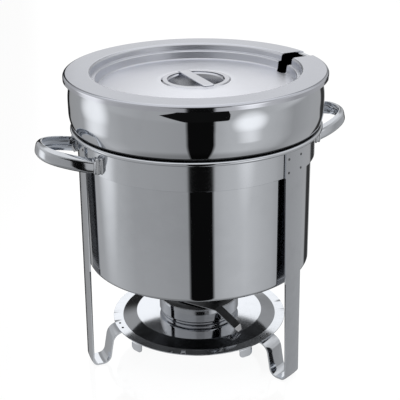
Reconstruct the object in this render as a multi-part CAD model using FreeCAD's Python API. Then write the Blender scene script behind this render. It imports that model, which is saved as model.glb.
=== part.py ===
import FreeCAD, Part
import math
import os

# Soup chafer: a three-legged stand carries a water pan, a food pan nests in the
# water pan, a recessed lid covers the food pan and a fuel burner stands below.
# Millimetres, +Z up, origin on the floor under the axis of the pans.
# Azimuth is measured from the front (-Y) towards +X.

# Driving sizes
SHEET = 1.0              # thickness of the pressed pans, lid, dish and burner
LID_R = 150.0            # outer radius of the lid lip
LID_TOP = 351.5          # top face of the lid flange above the floor
LIP_DROP = 6.6           # height of the turned-down lip
RECESS_R = 120.0         # radius where the lid flange drops into the recess
RECESS_STEP = 8.2        # depth from the flange to the ledge in the recess wall
RECESS_DEPTH = 18.2      # depth from the flange to the edge of the recess floor
RECESS_LEDGE = 4.6       # width of the ledge in the recess wall
FLOOR_RISE = 4.7         # the recess floor rises this much towards the centre
CUP_R = 33.0             # radius of the finger cup opening
CUP_DEPTH = 17.0         # depth of the finger cup
CUP_RING = 6.6           # width of the raised ring round the finger cup
FLOOR_BEND = 20.0        # bend radius where the recess floor starts to fall
STRAP_W = 13.0           # width of the grip strap over the cup
STRAP_T = 1.2            # thickness of the grip strap
STRAP_AZ = 24.0          # direction of the grip strap
NOTCH_W = 24.0           # width of the ladle notch in the lid
NOTCH_AZ = 115.0         # direction of the ladle notch
NOTCH_IN = 13.0          # how far the notch runs in past the recess edge
RIM_Z = 289.5            # top face of the water pan rim above the floor
PAN_R = 132.5            # outer radius of the water pan wall
PAN_BOTTOM = 121.5       # underside of the water pan above the floor
BEAD_R = 145.0           # outer radius of the rolled rim of the water pan
BEAD_TUBE = 2.4          # radius of the rolled bead itself
BELLY_R = 145.9          # largest radius of the food pan belly
NECK_IN = 4.4            # how far the neck of the food pan sits in from the belly
BELLY_ROUND = 8.5        # the belly bends start this far above and below its corners
SHOULDER_IN = 3.8        # the food pan shoulder ends this far inside the rolled rim
POT_FLANGE = 7.0         # flange of the deep pot that the belly ring is welded to
POT_GAP = 10.5           # radial water space between food pan and water pan
POT_LIFT = 15.0          # water space below the food pan
COLLAR_GAP = 2.9         # radial clearance between water pan wall and collar
COLLAR_T = 1.2           # thickness of the collar band
COLLAR_H = 34.2          # height of the collar band
LEG_T = 2.0              # thickness of the leg strips
LEG_TOP_W = 37.0         # leg width at the collar
LEG_FOOT_W = 26.0        # leg width at the foot
LEG_LEAN = 3.4           # how far the foot stands out from the collar
LEG_AZ = -70.0           # direction of the first leg, near the left handle
LEG_COUNT = 3
FOOT_RUN = 20.0          # radial distance from the outer to the inner leg line
RIVET_R = 1.5            # radius of all rivets
RIVET_HEAD = 0.7         # height of the rivet heads
RIVET_DROP = 13.5        # upper collar rivets below the top of the collar
RIVET_ROWS = 15.5        # distance between the two rows of collar rivets
DISH_RIVET_PITCH = 12.0  # distance between the two dish rivets of a leg
HANDLE_Z = 267.0         # height of the handle band centre at the collar
HANDLE_H = 17.0          # height of the handle band
HANDLE_OUT = 190.0       # reach of the handles from the axis before they are tilted
HANDLE_SPAN = 90.0       # distance between the ends of one handle
HANDLE_AZ = -68.5        # direction of the left handle; the right one is opposite
HANDLE_CORNER = 25.0     # the handle corners sit this far in from its ends
HANDLE_TILT = 14.0       # the handles rise outwards at this angle
HANDLE_BULGE = 4.5       # how far the handle band bulges outwards
HANDLE_WALL = 1.4        # thickness of the handle band
BRACKET_W = 16.0         # width of the handle end brackets
BRACKET_T = 5.0          # thickness of the handle end brackets
BRACKET_EXTRA = 7.0      # how much taller the brackets are than the band
DISH_TOP = 41.0          # top face of the dish flange above the floor
DISH_R = 106.2           # outer radius of the dish flange
DISH_FLANGE = 12.0       # width of the dish flange
DISH_WALL = 17.0         # radial run of the sloping wall up to the dish floor
DISH_RISE = 4.0          # height of the dish floor above the flange
TAB_DROP = 11.0          # length of the tabs hanging below the dish flange
TAB_W = 17.0             # width of those tabs
TAB_AZ = -7.0            # direction midway between the two tabs
TAB_SPREAD = 38.0        # angle from there to each tab
BURNER_R = 48.7          # outer radius of the burner can
BURNER_H = 23.5          # height of the burner can with its cover
BURNER_AZ = 38.0         # direction from the shutter pivot across the burner
FLAME_R = 26.0           # radius of the flame opening in the burner cover
SHUTTER_AIR = 0.2        # running gap under and over the shutter plate
PIVOT_FIT = 0.05         # radial running clearance of the shutter on its rivet
SHUTTER_STRIP = 14.0     # width of the shutter handle strip
STRIP_AZ = 58.0          # direction of the shutter handle strip
STRIP_OFF = 29.0         # distance of its middle line from the burner axis
STRIP_OUT = 29.0         # run of the strip beyond the rim of the burner
SHUTTER_LAP = 4.0        # how far the shutter plate laps over the flame opening

# Derived sizes
LID_BED = LID_TOP - SHEET                 # underside of the lid flange
COLLAR_IN = PAN_R + COLLAR_GAP
COLLAR_R = COLLAR_IN + COLLAR_T
COLLAR_TOP = RIM_Z - SHEET                # the rim of the water pan rests here
DISH_BED = DISH_TOP - SHEET               # underside of the dish flange
DISH_FLOOR = DISH_TOP + DISH_RISE         # the burner stands here
BURNER_TOP = DISH_FLOOR + BURNER_H
BRACKET_R = COLLAR_R + BRACKET_T
RIVET_Z = (COLLAR_TOP - RIVET_DROP, COLLAR_TOP - RIVET_DROP - RIVET_ROWS)
RIVET_PITCH = 0.6 * LEG_TOP_W
DISH_RIVET_R = DISH_R - 5.5
PIVOT_R = FLAME_R + 14.0                  # distance of the shutter pivot

os.makedirs("parts", exist_ok=True)
V = FreeCAD.Vector
AXIS = V(0, 0, 1)


def unit(a, b):
    """Unit vector from a to b in the profile plane."""
    length = math.hypot(b[0] - a[0], b[1] - a[1])
    return ((b[0] - a[0]) / length, (b[1] - a[1]) / length)


def bend_radius(before, corner, after, reach):
    """Radius of the bend at a corner that starts and ends at the given reach from it."""
    into = unit(before, corner)
    out = unit(corner, after)
    turn = math.atan2(into[0] * out[1] - into[1] * out[0], into[0] * out[0] + into[1] * out[1])
    return reach / math.tan(abs(turn) / 2)


def side_edges(path, side):
    """Edges of a bent line moved sideways; path is a list of (x, y, bend radius)."""
    edges = []
    start = None
    for i, (x, y, bend) in enumerate(path):
        into = unit(path[i - 1], path[i]) if i > 0 else unit(path[0], path[1])
        out = unit(path[i], path[i + 1]) if i < len(path) - 1 else into
        turn = math.atan2(into[0] * out[1] - into[1] * out[0], into[0] * out[0] + into[1] * out[1])
        if i == 0 or abs(turn) < 1e-6:
            point = (x - into[1] * side, y + into[0] * side)
            if start and math.dist(start, point) > 1e-6:
                edges.append(Part.makeLine(V(start[0], 0, start[1]), V(point[0], 0, point[1])))
            start = point
            continue
        reach = bend * math.tan(abs(turn) / 2)
        hand = math.copysign(1.0, turn)
        begin = (x - into[0] * reach - into[1] * side, y - into[1] * reach + into[0] * side)
        end = (x + out[0] * reach - out[1] * side, y + out[1] * reach + out[0] * side)
        centre = (x - into[0] * reach - into[1] * bend * hand, y - into[1] * reach + into[0] * bend * hand)
        mid_dir = unit(centre, (x, y))
        radius = bend - side * hand
        middle = (centre[0] + mid_dir[0] * radius, centre[1] + mid_dir[1] * radius)
        if math.dist(start, begin) > 1e-6:
            edges.append(Part.makeLine(V(start[0], 0, start[1]), V(begin[0], 0, begin[1])))
        arc = Part.Arc(V(begin[0], 0, begin[1]), V(middle[0], 0, middle[1]), V(end[0], 0, end[1]))
        edges.append(arc.toShape())
        start = end
    return edges


def sheet_face(path, thickness):
    """Closed face of a bent sheet whose middle line follows the path in the XZ plane."""
    upper = side_edges(path, thickness / 2)
    lower = side_edges(path, -thickness / 2)
    ends = []
    for edge_a, edge_b, where in ((upper[0], lower[0], 0), (upper[-1], lower[-1], -1)):
        a = edge_a.valueAt(edge_a.FirstParameter if where == 0 else edge_a.LastParameter)
        b = edge_b.valueAt(edge_b.FirstParameter if where == 0 else edge_b.LastParameter)
        ends.append(Part.makeLine(a, b))
    wire = Part.Wire(Part.__sortEdges__(upper + lower + ends))
    return Part.Face(wire)


def spun(path, thickness=SHEET):
    """Pressed round sheet: the path turned a full circle about the axis."""
    return sheet_face(path, thickness).revolve(V(0, 0, 0), AXIS, 360)


def to_azimuth(shape, azimuth):
    """Turn a shape built along +X so that it points to the given azimuth."""
    turned = shape.copy()
    turned.rotate(V(0, 0, 0), AXIS, azimuth - 90)
    return turned


def ring(r_in, r_out, z0, z1):
    """Plain flat ring about the axis."""
    body = Part.makeCylinder(r_out, z1 - z0, V(0, 0, z0))
    if r_in <= 0:
        return body
    return body.cut(Part.makeCylinder(r_in, z1 - z0, V(0, 0, z0)))


def leg_azimuths():
    return [LEG_AZ + 360.0 / LEG_COUNT * i for i in range(LEG_COUNT)]


def make_water_pan():
    """Straight drum with a flat rim that ends in a rolled bead."""
    middle = SHEET / 2
    bead_mid = BEAD_R - BEAD_TUBE
    path = [
        (0, PAN_BOTTOM + middle, 0),
        (PAN_R - middle, PAN_BOTTOM + middle, 5.0),
        (PAN_R - middle, RIM_Z - middle, 1.5),
        (bead_mid, RIM_Z - middle, 0),
    ]
    bead = Part.makeTorus(bead_mid, BEAD_TUBE, V(0, 0, RIM_Z - BEAD_TUBE))
    return spun(path).fuse(bead).removeSplitter()


def shoulder_height():
    """Middle of the sheet where the food pan rests on the rim of the water pan."""
    return RIM_Z + SHEET / 2


def pot_radius():
    """Middle of the wall of the deep pot."""
    return PAN_R - SHEET - POT_GAP - SHEET / 2


def make_food_pan():
    """Deep pot of the food pan, drawn in one piece with a short flange at the top."""
    floor = PAN_BOTTOM + SHEET + POT_LIFT + SHEET / 2
    path = [
        (0, floor, 0),
        (pot_radius(), floor, 12.0),
        (pot_radius(), shoulder_height(), 3.5),
        (pot_radius() + POT_FLANGE, shoulder_height(), 0),
    ]
    return spun(path)


def make_food_pan_belly():
    """Spun ring welded to the pot flange: shoulder on the rim, belly, neck and flat rim."""
    middle = SHEET / 2
    belly = BELLY_R - middle
    neck = belly - NECK_IN
    rim_r = LID_R - SHEET - 2.0 - middle
    shoulder = shoulder_height()
    rim = LID_BED - middle
    height = rim - shoulder
    foot = (BEAD_R - SHOULDER_IN, shoulder)
    low = (belly, shoulder + 0.27 * height)
    high = (belly, shoulder + 0.56 * height)
    throat = (neck, shoulder + 0.78 * height)
    path = [
        (pot_radius() + POT_FLANGE, shoulder, 0),
        (foot[0], foot[1], 4.5),
        (low[0], low[1], bend_radius(foot, low, high, BELLY_ROUND)),
        (high[0], high[1], bend_radius(low, high, throat, BELLY_ROUND)),
        (throat[0], throat[1], 9.0),
        (neck, rim, 1.5),
        (rim_r, rim, 1.2),
        (rim_r, rim - 4.0, 0),
    ]
    return spun(path)


def notch_cutter():
    """Radial slot with a round inner end, long enough to leave the rim."""
    inner = RECESS_R - NOTCH_IN
    low = LID_TOP - RECESS_DEPTH - 2 * SHEET
    tall = LID_TOP + SHEET - low
    start = inner + NOTCH_W / 2
    slot = Part.makeBox(LID_R + SHEET - start, NOTCH_W, tall, V(start, -NOTCH_W / 2, low))
    slot = slot.fuse(Part.makeCylinder(NOTCH_W / 2, tall, V(start, 0, low)))
    return to_azimuth(slot, NOTCH_AZ)


def make_lid_plate():
    """Flange with a turned-down lip, stepped recess and a raised ring round the cup."""
    middle = SHEET / 2
    top = LID_TOP - middle
    edge = top - RECESS_DEPTH
    centre = edge + FLOOR_RISE
    ledge = RECESS_R - 1.2 - RECESS_LEDGE
    path = [
        (CUP_R, centre + SHEET, 0),
        (CUP_R + CUP_RING - 1.6 * SHEET, centre + SHEET, 1.0),
        (CUP_R + CUP_RING, centre, 1.0),
        (CUP_R + 1.8 * CUP_RING, centre, FLOOR_BEND),
        (ledge - 1.4, edge, 2.5),
        (ledge, top - RECESS_STEP, 1.2),
        (ledge + RECESS_LEDGE, top - RECESS_STEP, 1.2),
        (RECESS_R, top, 3.0),
        (LID_R - middle, top, 2.6),
        (LID_R - middle, LID_TOP - LIP_DROP, 0),
    ]
    return spun(path).cut(notch_cutter())


def cup_ring_bottom():
    """Underside of the raised ring that the finger cup is welded to."""
    return LID_TOP - SHEET - RECESS_DEPTH + FLOOR_RISE + SHEET


def make_lid_cup():
    """Finger cup hanging under the middle of the lid."""
    flange = cup_ring_bottom() - SHEET / 2
    path = [
        (CUP_R + 4.0, flange, 0),
        (CUP_R - 1.0, flange, 3.0),
        (CUP_R - 8.0, flange - CUP_DEPTH, 6.0),
        (0, flange - CUP_DEPTH, 0),
    ]
    return spun(path)


def make_lid_strap():
    """Flat grip strap across the finger cup, lying on the raised ring."""
    z = cup_ring_bottom() + SHEET
    half = CUP_R + 4.0
    strap = Part.makeBox(2 * half, STRAP_W, STRAP_T, V(-half, -STRAP_W / 2, z))
    corners = [e for e in strap.Edges if abs(e.tangentAt(e.FirstParameter).z) > 0.9]
    return to_azimuth(strap.makeFillet(3.0, corners), STRAP_AZ)


def radial_pin(azimuth, offset, z, r_from, r_to):
    """Pin along the leg direction, moved sideways by the offset."""
    pin = Part.makeCylinder(RIVET_R, r_to - r_from, V(r_from, offset, z), V(1, 0, 0))
    return to_azimuth(pin, azimuth)


def collar_pins(azimuth, r_to):
    pins = []
    for z in RIVET_Z:
        for offset in (-RIVET_PITCH / 2, RIVET_PITCH / 2):
            pins.append(radial_pin(azimuth, offset, z, COLLAR_IN - 2.0, r_to))
    return pins


def dish_pins(azimuth, z0, z1):
    pins = []
    for offset in (-DISH_RIVET_PITCH / 2, DISH_RIVET_PITCH / 2):
        pin = Part.makeCylinder(RIVET_R, z1 - z0, V(DISH_RIVET_R, offset, z0))
        pins.append(to_azimuth(pin, azimuth))
    return pins


def make_collar():
    """Round band of the stand that the rim of the water pan rests on."""
    band = ring(COLLAR_IN, COLLAR_R, COLLAR_TOP - COLLAR_H, COLLAR_TOP)
    for azimuth in leg_azimuths():
        band = band.cut(Part.makeCompound(collar_pins(azimuth, COLLAR_R + 3 * LEG_T)))
    return band


def leg_path():
    """Middle line of a leg: down from the collar, flat foot, S-bend up to the dish."""
    top_r = COLLAR_R + LEG_T / 2
    foot_r = top_r + LEG_LEAN
    foot_z = LEG_T / 2
    inner = foot_r - FOOT_RUN
    bed = DISH_BED - LEG_T / 2
    return [
        (top_r, COLLAR_TOP - 6.0, 0),
        (top_r, COLLAR_TOP - COLLAR_H - 6.0, 80.0),
        (foot_r, foot_z, 6.0),
        (inner, foot_z, 10.0),
        (DISH_R + 8.0, bed, 14.0),
        (DISH_R - DISH_FLANGE + 1.5, bed, 0),
    ]


def make_leg(azimuth):
    """Tapered strip curved like the collar, riveted to the collar and the dish."""
    sector = sheet_face(leg_path(), LEG_T)
    sector.rotate(V(0, 0, 0), AXIS, -20)
    strip = sector.revolve(V(0, 0, 0), AXIS, 40)
    top = COLLAR_TOP
    low = DISH_TOP
    half_top = LEG_TOP_W / 2
    half_foot = LEG_FOOT_W / 2
    outline = [
        V(0, -half_top, top), V(0, half_top, top), V(0, half_top, top - COLLAR_H),
        V(0, half_foot, low), V(0, half_foot, -1), V(0, -half_foot, -1),
        V(0, -half_foot, low), V(0, -half_top, top - COLLAR_H), V(0, -half_top, top),
    ]
    outline_face = Part.Face(Part.makePolygon(outline))
    strip = strip.common(outline_face.extrude(V(2 * COLLAR_R, 0, 0)))
    leg = to_azimuth(strip, azimuth)
    leg = leg.cut(Part.makeCompound(collar_pins(azimuth, COLLAR_R + 3 * LEG_T)))
    leg = leg.cut(Part.makeCompound(dish_pins(azimuth, 0, DISH_TOP + 1)))
    return leg.Solids[0]


def make_collar_rivets():
    """Four rivets through the collar and each leg, heads just proud of the leg."""
    bore = Part.makeCylinder(COLLAR_IN, RIM_Z)
    pins = []
    for azimuth in leg_azimuths():
        for pin in collar_pins(azimuth, COLLAR_R + LEG_T + RIVET_HEAD):
            pins.append(pin.cut(bore))
    return Part.makeCompound(pins)


def make_dish_rivets():
    """Two rivets through the dish flange and the end of each leg."""
    pins = []
    for azimuth in leg_azimuths():
        pins += dish_pins(azimuth, DISH_BED - LEG_T, DISH_TOP + RIVET_HEAD)
    return Part.makeCompound(pins)


def make_dish():
    """Round dish with a flat flange and a raised floor that carries the burner."""
    middle = SHEET / 2
    inner = DISH_R - DISH_FLANGE
    path = [
        (0, DISH_FLOOR - middle, 0),
        (inner - DISH_WALL, DISH_FLOOR - middle, 2.5),
        (inner, DISH_TOP - middle, 2.5),
        (DISH_R, DISH_TOP - middle, 0),
    ]
    dish = spun(path)
    for azimuth in leg_azimuths():
        dish = dish.cut(Part.makeCompound(dish_pins(azimuth, 0, DISH_TOP + 1)))
    return dish


def make_tabs():
    """Two short tabs bent down from a foot under the dish flange, ends rounded."""
    bed = DISH_BED - SHEET / 2
    path = [
        (DISH_R - DISH_FLANGE + 1.5, bed, 0),
        (DISH_R - 1.5, bed, 2.0),
        (DISH_R - 1.0, bed - TAB_DROP, 0),
    ]
    strip = sheet_face(path, SHEET)
    strip.translate(V(0, -TAB_W / 2, 0))
    strip = strip.extrude(V(0, TAB_W, 0))
    tip = DISH_BED - TAB_DROP - SHEET
    outline = [
        V(0, -TAB_W / 2, DISH_TOP), V(0, TAB_W / 2, DISH_TOP), V(0, TAB_W / 2, DISH_BED - 3),
        V(0, TAB_W / 4, tip), V(0, -TAB_W / 4, tip), V(0, -TAB_W / 2, DISH_BED - 3),
        V(0, -TAB_W / 2, DISH_TOP),
    ]
    cutter = Part.Face(Part.makePolygon(outline)).extrude(V(DISH_R + 20, 0, 0))
    strip = strip.common(cutter)
    return Part.makeCompound([to_azimuth(strip, TAB_AZ + side * TAB_SPREAD).Solids[0] for side in (-1, 1)])


def handle_path():
    """Plan of a handle loop in local axes: x away from the pan, y along the pan."""
    reach = HANDLE_OUT - HANDLE_BULGE
    start = COLLAR_IN - 12.0
    half = HANDLE_SPAN / 2
    corner = half - HANDLE_CORNER
    points = [(start, -half - 2.0), (reach, -corner), (reach, corner), (start, half + 2.0)]
    bend = bend_radius(points[0], points[1], points[2], 0.96 * corner)
    path = [(points[0][0], points[0][1], 0)]
    path += [(p[0], p[1], bend) for p in points[1:3]]
    path.append((points[3][0], points[3][1], 0))
    return path


def make_handle(azimuth):
    """Hollow-backed band swept along the loop, ends cut to the brackets."""
    wire = Part.Wire(Part.__sortEdges__(side_edges(handle_path(), 0.0)))
    wire.rotate(V(0, 0, 0), V(1, 0, 0), -90)
    start = wire.OrderedVertexes[0].Point
    first = wire.OrderedEdges[0]
    along = first.tangentAt(first.FirstParameter)
    if (first.valueAt(first.FirstParameter) - start).Length > 1e-6:
        along = first.tangentAt(first.LastParameter) * -1
    outward = along.cross(AXIS)
    if outward.dot(V(0, start.y, 0)) < 0:
        outward = outward * -1
    half = HANDLE_H / 2

    def section_point(n, z):
        return start + outward * n + AXIS * z

    outer = Part.Arc(section_point(0, -half), section_point(HANDLE_BULGE, 0), section_point(0, half)).toShape()
    back = -HANDLE_WALL
    low = half - HANDLE_WALL / 2
    cap = Part.makeLine(section_point(0, half), section_point(back, low))
    hollow = section_point(HANDLE_BULGE - 1.4 * HANDLE_WALL, 0)
    inner = Part.Arc(section_point(back, low), hollow, section_point(back, -low)).toShape()
    foot = Part.makeLine(section_point(back, -low), section_point(0, -half))
    section = Part.Wire([outer, cap, inner, foot])
    sweep = Part.BRepOffsetAPI.MakePipeShell(wire)
    sweep.setBiNormalMode(AXIS)
    sweep.add(section)
    sweep.build()
    sweep.makeSolid()
    band = sweep.shape()
    band.rotate(V(COLLAR_R, 0, 0), V(0, 1, 0), -HANDLE_TILT)
    band.translate(V(0, 0, HANDLE_Z))
    band = band.cut(Part.makeCylinder(BRACKET_R, 2 * HANDLE_Z))
    solids = sorted(band.Solids, key=lambda s: s.Volume)
    return to_azimuth(solids[-1], azimuth)


def bracket_azimuth():
    """Angle between the handle centre and each end bracket."""
    return math.degrees(math.asin(HANDLE_SPAN / 2 / BRACKET_R))


def make_brackets():
    """Curved end plates that join the handles to the collar."""
    plates = []
    tall = HANDLE_H + BRACKET_EXTRA
    half = math.degrees(math.asin(BRACKET_W / 2 / BRACKET_R))
    for centre in (HANDLE_AZ, HANDLE_AZ + 180.0):
        for side in (-1, 1):
            plate = Part.makeBox(BRACKET_T, 2, tall, V(COLLAR_R, -1, HANDLE_Z - tall / 2))
            face = [f for f in plate.Faces if f.CenterOfMass.y < -0.9][0]
            face.translate(V(0, 1, 0))
            face.rotate(V(0, 0, 0), AXIS, -half)
            sector = face.revolve(V(0, 0, 0), AXIS, 2 * half)
            plates.append(to_azimuth(sector, centre + side * bracket_azimuth()))
    return Part.makeCompound(plates)


def make_burner_can():
    """Fuel can on a narrower base, open at the top."""
    middle = SHEET / 2
    base = BURNER_R - 3.2
    wall = BURNER_R - middle
    path = [
        (0, DISH_FLOOR + middle, 0),
        (base, DISH_FLOOR + middle, 1.2),
        (base, DISH_FLOOR + 3.8, 1.0),
        (wall, DISH_FLOOR + 5.6, 2.0),
        (wall, BURNER_TOP - SHEET, 0),
    ]
    return spun(path)


def pivot_place():
    """Shutter pivot, on the far side of the flame opening from the shutter handle."""
    angle = math.radians(BURNER_AZ)
    return V(-PIVOT_R * math.sin(angle), PIVOT_R * math.cos(angle), 0)


def make_burner_cover():
    """Flat cover of the burner with the flame opening and the pivot hole."""
    cover = ring(FLAME_R, BURNER_R, BURNER_TOP - SHEET, BURNER_TOP)
    cover = cover.cut(Part.makeCylinder(RIVET_R, SHEET, pivot_place() + V(0, 0, BURNER_TOP - SHEET)))
    return cover


def make_pivot():
    """Rivet that the shutter swings on."""
    place = pivot_place()
    head_z = BURNER_TOP + SHEET + 2 * SHUTTER_AIR
    shank = Part.makeCylinder(RIVET_R, head_z - BURNER_TOP + SHEET, place + V(0, 0, BURNER_TOP - SHEET))
    head = Part.makeCone(3.4, 2.2, 1.2, place + V(0, 0, head_z))
    return shank.fuse(head).removeSplitter()


def make_shutter_plate():
    """Round shutter with an ear that turns on the pivot."""
    z = BURNER_TOP + SHUTTER_AIR
    cap = FLAME_R + SHUTTER_LAP
    disc = Part.makeCylinder(cap, SHEET, V(0, 0, z))
    ear = Part.makeBox(PIVOT_R, 12.0, SHEET, V(-PIVOT_R, -6.0, z))
    ear = ear.fuse(Part.makeCylinder(6.0, SHEET, V(-PIVOT_R, 0, z)))
    plate = disc.fuse(ear).removeSplitter()
    plate = plate.cut(Part.makeCylinder(RIVET_R + PIVOT_FIT, SHEET, V(-PIVOT_R, 0, z)))
    return to_azimuth(plate, BURNER_AZ)


def make_shutter_handle():
    """Strip fixed across the shutter that runs over the rim and slopes down to a rounded end."""
    half = SHUTTER_STRIP / 2
    z = BURNER_TOP + SHUTTER_AIR + SHEET + SHEET / 2
    near = STRIP_OFF - half
    rim = math.sqrt((BURNER_R + 2.0) ** 2 - near ** 2)
    start = -math.sqrt((FLAME_R + SHUTTER_LAP) ** 2 - STRIP_OFF ** 2)
    end = rim + STRIP_OUT
    path = [
        (start, z, 0),
        (rim, z, 6.0),
        (end - 3.0, DISH_FLOOR + 8.0, 2.5),
        (end, DISH_FLOOR + 3.0, 0),
    ]
    strip = sheet_face(path, SHEET)
    strip.translate(V(0, -half, 0))
    strip = strip.extrude(V(0, SHUTTER_STRIP, 0))
    tip = end + SHEET - half
    plan = Part.makeBox(tip - start, SHUTTER_STRIP, BURNER_TOP, V(start, -half, DISH_FLOOR))
    plan = plan.fuse(Part.makeCylinder(half, BURNER_TOP, V(tip, 0, DISH_FLOOR)))
    strip = strip.common(plan).Solids[0]
    strip.translate(V(0, -STRIP_OFF, 0))
    return to_azimuth(strip, STRIP_AZ)


def save(name, shape):
    shape.exportStep("parts/" + name + ".step")


left_az, right_az, rear_az = leg_azimuths()
save("collar_band", make_collar())
save("left_leg", make_leg(left_az))
save("right_leg", make_leg(right_az))
save("rear_leg", make_leg(rear_az))
save("collar_rivets", make_collar_rivets())
save("dish_rivets", make_dish_rivets())
save("burner_dish", make_dish())
save("dish_tabs", make_tabs())
save("left_handle", make_handle(HANDLE_AZ))
save("right_handle", make_handle(HANDLE_AZ + 180.0))
save("handle_brackets", make_brackets())
save("water_pan", make_water_pan())
save("food_pan", make_food_pan())
save("food_pan_belly", make_food_pan_belly())
save("lid_plate", make_lid_plate())
save("lid_cup", make_lid_cup())
save("lid_strap", make_lid_strap())
save("burner_can", make_burner_can())
save("burner_cover", make_burner_cover())
save("shutter_pivot", make_pivot())
save("shutter_plate", make_shutter_plate())
save("shutter_handle", make_shutter_handle())
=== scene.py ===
# %% [markdown]
# A soup chafer in polished steel.
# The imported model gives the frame: every piece below sits where the frame has its solid, in metres,
# with the floor at height zero and the axis of the pans at the origin. The front is -Y.
# Polished steel shows every flat facet, so the round pieces are worked out again as smooth surfaces
# on nearly the same profiles and take the place of the plain solids.

# %% Load the frame
import math

import bmesh
import bpy
import numpy as np
from mathutils import Matrix, Vector


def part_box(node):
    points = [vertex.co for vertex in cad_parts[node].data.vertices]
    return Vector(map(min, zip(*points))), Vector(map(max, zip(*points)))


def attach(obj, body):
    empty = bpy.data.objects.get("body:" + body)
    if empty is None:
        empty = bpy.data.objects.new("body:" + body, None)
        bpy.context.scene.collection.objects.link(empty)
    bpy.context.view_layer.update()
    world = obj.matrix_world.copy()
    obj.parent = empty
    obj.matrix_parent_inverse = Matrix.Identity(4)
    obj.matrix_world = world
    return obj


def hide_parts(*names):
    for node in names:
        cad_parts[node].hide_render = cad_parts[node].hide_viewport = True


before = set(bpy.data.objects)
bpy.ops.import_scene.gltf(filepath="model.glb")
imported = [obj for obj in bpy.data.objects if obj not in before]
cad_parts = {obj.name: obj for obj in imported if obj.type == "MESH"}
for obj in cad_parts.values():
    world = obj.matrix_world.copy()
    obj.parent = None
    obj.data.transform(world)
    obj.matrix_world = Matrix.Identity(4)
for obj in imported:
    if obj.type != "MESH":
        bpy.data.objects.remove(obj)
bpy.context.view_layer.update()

MM = 0.001

# %% [markdown]
# The camera comes first, because every later look is judged through it.
# A photograph's camera can be guessed by eye or solved from known circles. Here the round rims of lid,
# belly, bead and drum were solved together, so the rims of the render fall on those of the photograph.

# %% Camera
CAMERA_PLACE = Vector((0.0, -1.0883, 0.6337))
CAMERA_PITCH = math.radians(22.181)
CAMERA_YAW = math.radians(-0.155)
CAMERA_ROLL = math.radians(0.722)
FOCAL_SHARE = 2.4653          # focal length divided by the width of the picture


def new_object(name, data):
    """Object with the given data, linked to the scene."""
    item = bpy.data.objects.new(name, data)
    bpy.context.scene.collection.objects.link(item)
    return item


def make_camera():
    """Axes of the camera: right and up turned by the roll about the line of sight."""
    flat_right = Vector((math.cos(CAMERA_YAW), math.sin(CAMERA_YAW), 0))
    flat_ahead = Vector((-math.sin(CAMERA_YAW), math.cos(CAMERA_YAW), 0))
    ahead = flat_ahead * math.cos(CAMERA_PITCH) - Vector((0, 0, math.sin(CAMERA_PITCH)))
    level_up = flat_ahead * math.sin(CAMERA_PITCH) + Vector((0, 0, math.cos(CAMERA_PITCH)))
    right = flat_right * math.cos(CAMERA_ROLL) - level_up * math.sin(CAMERA_ROLL)
    up = flat_right * math.sin(CAMERA_ROLL) + level_up * math.cos(CAMERA_ROLL)
    data = bpy.data.cameras.new("camera")
    data.sensor_fit = "HORIZONTAL"
    data.sensor_width = 36.0
    data.lens = FOCAL_SHARE * data.sensor_width
    camera = new_object("camera", data)
    turn = Matrix((right, up, -ahead)).transposed().to_4x4()
    camera.matrix_world = Matrix.Translation(CAMERA_PLACE) @ turn
    bpy.context.scene.camera = camera
    return camera


print("camera lens:", round(make_camera().data.lens, 2), "mm")

# %% [markdown]
# Almost every piece here is sheet metal: a line of straight runs and round bends, given a thickness.
# One helper walks along such a line and returns points and side directions. A second one turns the two
# sides of the sheet about the vertical axis, as a spinning lathe does with a steel disc. A third one
# puts the points into a mesh, merges the seam, points the faces outwards and shades them smooth.

# %% Helpers for sheet metal
NEIGHBOUR = 0.15 * MM         # close points at the ends of a run keep the shading of flat faces flat
MERGE = 2e-6
TINY = 1e-7


def run_places(length, step):
    """Distances along a straight run: even steps, with a close neighbour at both ends."""
    if length < TINY:
        return np.zeros(1)
    near = min(NEIGHBOUR, length / 4)
    even = np.linspace(0, length, max(2, int(length / step) + 1))[1:-1]
    return np.unique(np.concatenate([[0, near], even, [length - near, length]]))


def bent_line(corners, per_bend=8, step=0.02, extra=()):
    """Points and left-hand directions of a line of straight runs joined by tangent arcs.

    corners are (x, y, bend radius) in metres. An arc of radius b that turns by t starts b times the
    tangent of t/2 before its corner; its points lie b away from the arc's centre. extra lists x values
    where a run gets a point of its own.
    """
    spots = np.array([c[:2] for c in corners], float)
    runs = np.diff(spots, axis=0)
    headings = np.unwrap(np.arctan2(runs[:, 1], runs[:, 0]))
    places, angles = [], []
    start = spots[0]
    for i, heading in enumerate(headings):
        along = np.array([np.cos(heading), np.sin(heading)])
        last = i == len(headings) - 1
        turn = 0.0 if last else headings[i + 1] - heading
        reach = corners[i + 1][2] * math.tan(abs(turn) / 2)
        end = spots[i + 1] - along * reach
        length = float(np.hypot(*(end - start)))
        s = run_places(length, step)
        if len(extra) and abs(along[0]) > 0.3:
            crossing = (np.asarray(extra) - start[0]) / along[0]
            s = np.unique(np.concatenate([s, crossing[(crossing > 0) & (crossing < length)]]))
        places.append(start + s[:, None] * along)
        angles.append(np.full(len(s), heading))
        if abs(turn) > 1e-6:
            hand = math.copysign(corners[i + 1][2], turn)
            centre = end + hand * np.array([-along[1], along[0]])
            a = heading + turn * np.arange(1, per_bend) / per_bend
            places.append(centre + hand * np.column_stack([np.sin(a), -np.cos(a)]))
            angles.append(a)
            after = headings[i + 1]
            start = spots[i + 1] + reach * np.array([np.cos(after), np.sin(after)])
        else:
            start = end
    angles = np.concatenate(angles)
    return np.concatenate(places), np.column_stack([-np.sin(angles), np.cos(angles)])


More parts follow.
